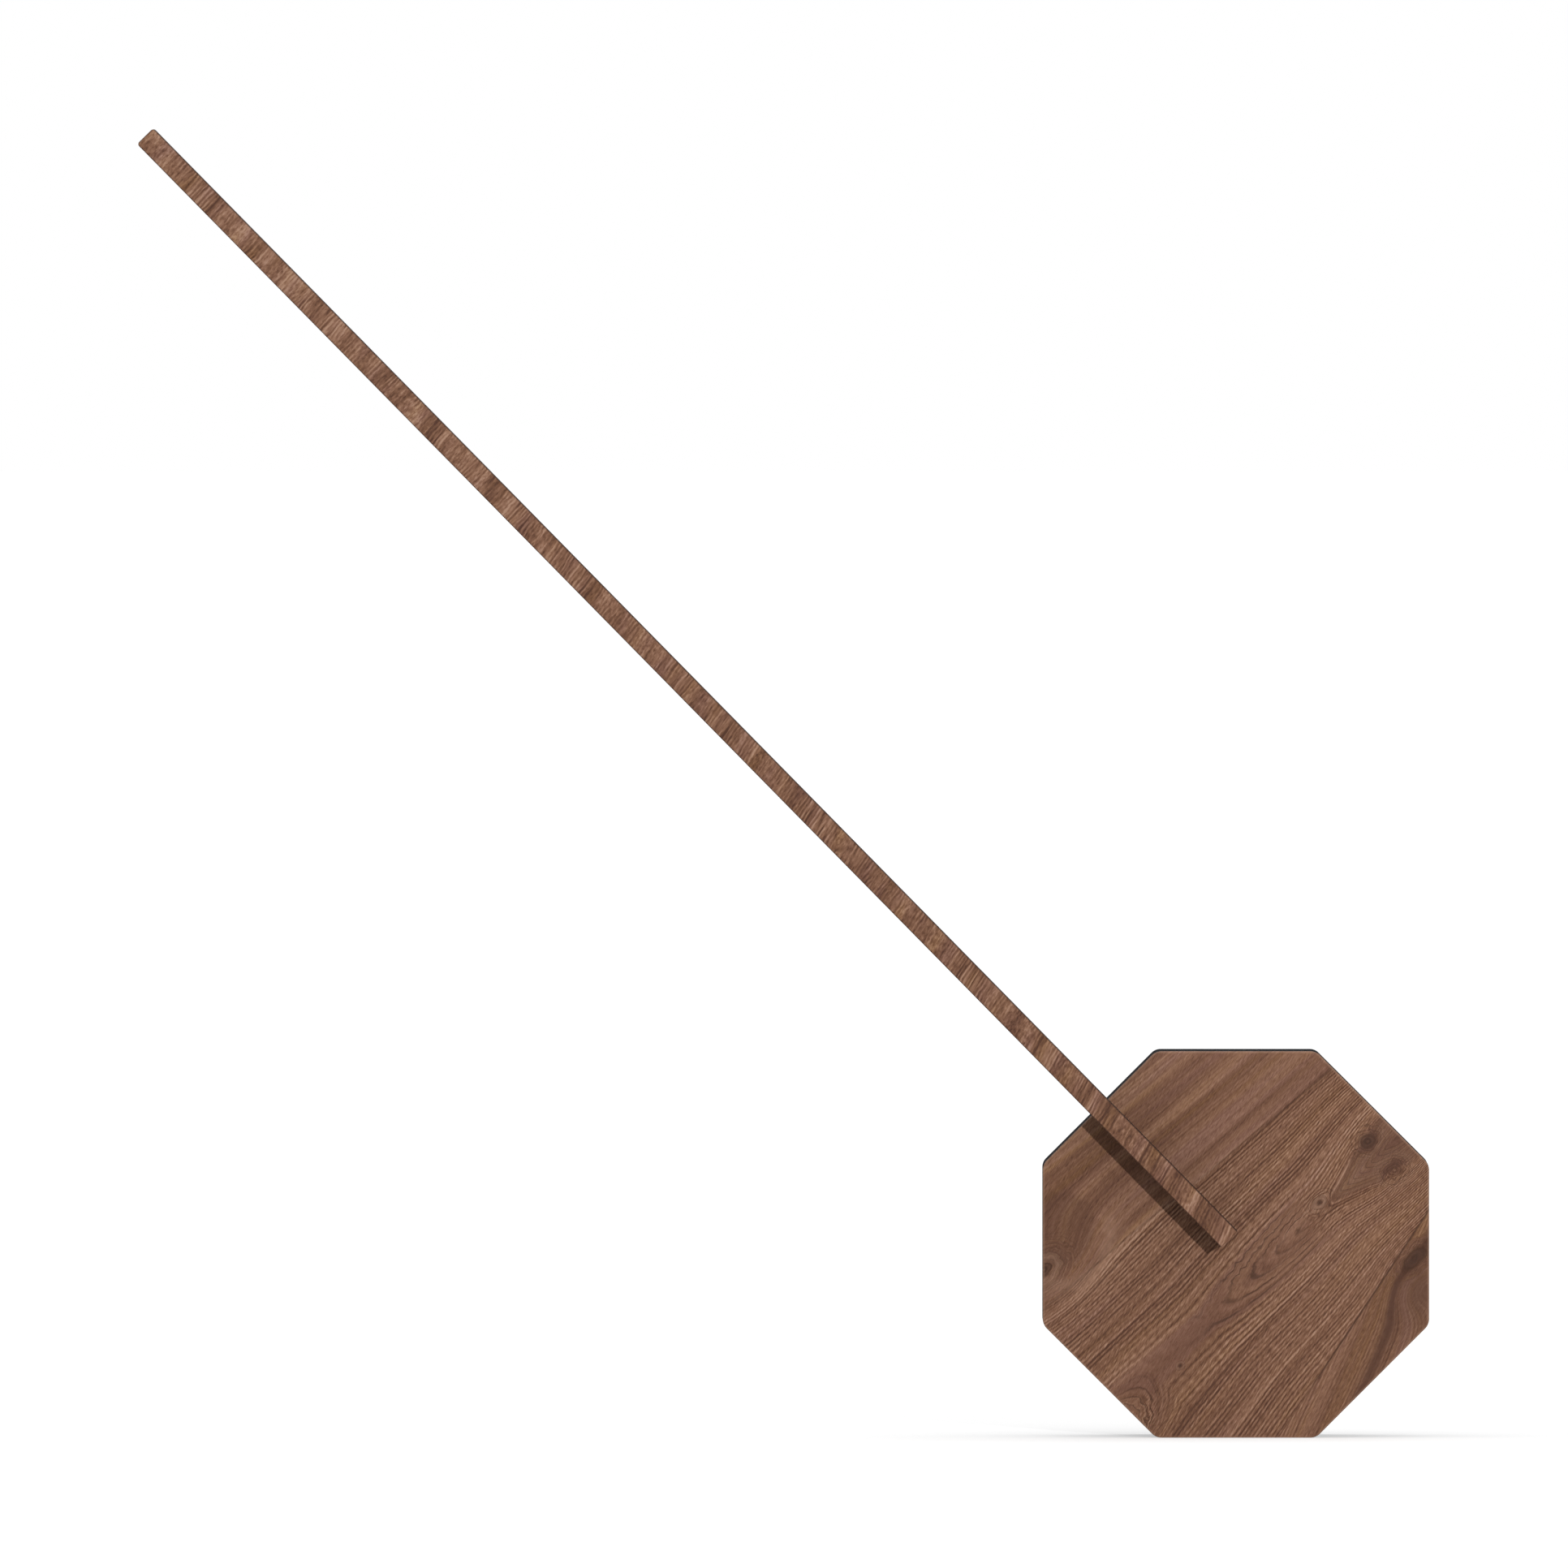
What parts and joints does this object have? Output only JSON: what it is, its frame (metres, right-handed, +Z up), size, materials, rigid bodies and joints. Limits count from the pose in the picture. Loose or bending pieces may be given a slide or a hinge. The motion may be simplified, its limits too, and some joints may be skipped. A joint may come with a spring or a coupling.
{
  "type": "desk lamp",
  "caption": "Rechargeable desk lamp: octagonal base with a walnut front panel and a slim walnut-faced swing arm that carries a light strip on its underside.",
  "frame": {"origin": "middle of the bottom facet of the octagonal base, on the surface that the lamp stands on", "axes": "+Z is up, the walnut front panel looks along -Y, and at rest the arm rises to the left, towards -X"},
  "size_m": [0.4007, 0.0656, 0.4064],
  "materials": {
    "walnut": "satin",
    "black_moulding": "satin",
    "black_anodised": "satin",
    "bare_aluminium": "satin",
    "steel": "satin",
    "black_steel": "satin",
    "bronze": "satin",
    "nylon": "satin",
    "foam": "matte",
    "cell_pouch": "satin",
    "circuit_green": "satin",
    "circuit_white": "satin",
    "component_black": "matte",
    "lead_black": "matte",
    "lead_red": "matte",
    "emitter": "gloss",
    "opal": "satin",
    "clear_pipe": "gloss"
  },
  "bodies": {
    "base": {"front_panel": "walnut", "panel_inserts": "bronze", "shell": "black_moulding", "panel_screws": "steel", "back_cover": "black_moulding", "cover_screws": "black_steel", "pivot_bush": "bronze", "bush_screws": "steel", "friction_washer": "nylon", "stop_pins": "steel", "low_counterweight": "steel", "side_counterweight": "steel", "counterweight_screws": "steel", "battery_pack": "cell_pouch", "battery_guard_board": "circuit_green", "battery_foam_pad": "foam", "battery_clamp": "black_moulding", "clamp_screws": "steel", "battery_lead": "lead_red", "circuit_board": "circuit_green", "board_components": "component_black", "board_screws": "steel", "lamp_lead": "lead_black", "charging_socket": "steel", "socket_tongue": "component_black", "switch_body": "component_black", "indicator_light_pipe": "clear_pipe"},
    "arm": {"arm_walnut_strip": "walnut", "arm_channel": "black_anodised", "arm_foot": "bare_aluminium", "foot_screws": "steel", "arm_tip_cap": "black_moulding", "channel_cover": "black_moulding", "led_board": "circuit_white", "led_emitters": "emitter", "diffuser": "opal", "arm_lead": "lead_black", "pivot_shaft": "steel", "stop_washer": "steel", "disc_spring": "steel", "lock_nut": "steel"},
    "button": {"push_button": "black_moulding", "switch_plunger": "nylon"}
  },
  "joints": [
    {"name": "arm_swing", "type": "hinge", "parent": "base", "child": "arm", "pos_m": [-0.01202, -0.022, 0.07202], "axis": [0, 1, 0], "range_deg": [-45, 45]},
    {"name": "button_press", "type": "slide", "parent": "base", "child": "button", "axis": [0, -1, 0], "range_m": [0, 0.001], "stiffness_N_per_m": 800}
  ]
}
